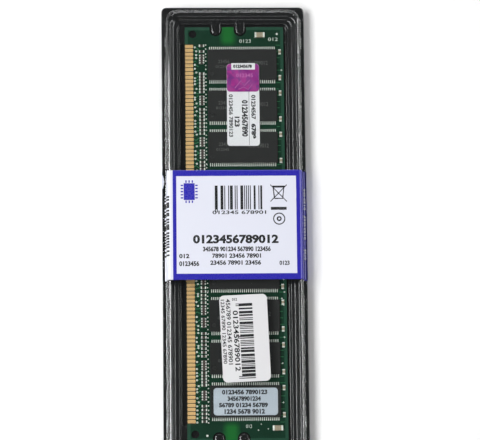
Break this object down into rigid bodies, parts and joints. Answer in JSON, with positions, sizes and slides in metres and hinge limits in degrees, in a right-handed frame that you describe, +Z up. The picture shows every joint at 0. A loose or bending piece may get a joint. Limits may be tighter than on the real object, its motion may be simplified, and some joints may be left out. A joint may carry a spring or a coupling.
{
  "type": "ram module",
  "caption": "Computer memory module with chips and gold edge contacts, lying in a black moulded tray under a clear lid, sealed by a wrap-round label.",
  "frame": {"origin": "on the ground under the centre of the closed pack, which lies flat", "axes": "+Y along the pack's length, towards the end with the warranty sticker; +X from the contact edge to the plain edge; +Z up, the way the lid lifts"},
  "size_m": [0.0462, 0.1458, 0.0091],
  "materials": {
    "tray_plastic": "gloss, vacuum formed",
    "lid_plastic": "clear, polished",
    "seal_paper": "coated, printed",
    "sticker_paper": "coated, printed",
    "silver_film": "satin metallised film",
    "purple_foil": "metallised film",
    "solder_mask": "glossy lacquer on glass-fibre board",
    "gold_plate": "gold plated, polished",
    "chip_epoxy": "moulded epoxy",
    "resistor_ceramic": "glazed, tinned ends",
    "capacitor_ceramic": "fired ceramic, tinned ends"
  },
  "bodies": {
    "tray_body": {"tray": "tray_plastic", "seal_label_back": "seal_paper"},
    "module_body": {"warranty_sticker": "sticker_paper", "part_sticker": "silver_film", "foil_patch": "purple_foil", "pcb": "solder_mask", "contacts_front_long": "gold_plate", "contacts_front_short": "gold_plate", "contacts_back_long": "gold_plate", "contacts_back_short": "gold_plate", "dram_front_1": "chip_epoxy", "dram_front_2": "chip_epoxy", "dram_front_3": "chip_epoxy", "dram_front_4": "chip_epoxy", "dram_front_5": "chip_epoxy", "dram_front_6": "chip_epoxy", "dram_front_7": "chip_epoxy", "dram_front_8": "chip_epoxy", "dram_back_1": "chip_epoxy", "dram_back_2": "chip_epoxy", "dram_back_3": "chip_epoxy", "dram_back_4": "chip_epoxy", "dram_back_5": "chip_epoxy", "dram_back_6": "chip_epoxy", "dram_back_7": "chip_epoxy", "dram_back_8": "chip_epoxy", "spd_eeprom": "chip_epoxy", "resistor_array_1": "resistor_ceramic", "resistor_array_2": "resistor_ceramic", "resistor_array_3": "resistor_ceramic", "resistor_array_4": "resistor_ceramic", "resistor_array_5": "resistor_ceramic", "resistor_array_6": "resistor_ceramic", "resistor_array_7": "resistor_ceramic", "resistor_array_8": "resistor_ceramic", "resistor_array_9": "resistor_ceramic", "resistor_array_10": "resistor_ceramic", "resistor_array_11": "resistor_ceramic", "resistor_array_12": "resistor_ceramic", "decoupling_capacitor_1": "capacitor_ceramic", "decoupling_capacitor_2": "capacitor_ceramic", "decoupling_capacitor_3": "capacitor_ceramic", "decoupling_capacitor_4": "capacitor_ceramic", "decoupling_capacitor_5": "capacitor_ceramic", "decoupling_capacitor_6": "capacitor_ceramic", "decoupling_capacitor_7": "capacitor_ceramic", "decoupling_capacitor_8": "capacitor_ceramic", "decoupling_capacitor_9": "capacitor_ceramic", "decoupling_capacitor_10": "capacitor_ceramic", "decoupling_capacitor_11": "capacitor_ceramic", "decoupling_capacitor_12": "capacitor_ceramic", "decoupling_capacitor_13": "capacitor_ceramic", "decoupling_capacitor_14": "capacitor_ceramic", "decoupling_capacitor_15": "capacitor_ceramic", "decoupling_capacitor_16": "capacitor_ceramic", "end_capacitor_top": "capacitor_ceramic", "end_capacitor_low": "capacitor_ceramic"},
    "lid_body": {"lid": "lid_plastic", "seal_label_front": "seal_paper", "price_sticker": "sticker_paper"}
  },
  "joints": [
    {"name": "module_lift", "type": "slide", "parent": "tray_body", "child": "module_body", "axis": [0, 0, 1], "range_m": [0, 0.03]},
    {"name": "lid_lift", "type": "slide", "parent": "module_body", "child": "lid_body", "axis": [0, 0, 1], "range_m": [0, 0.04]}
  ]
}
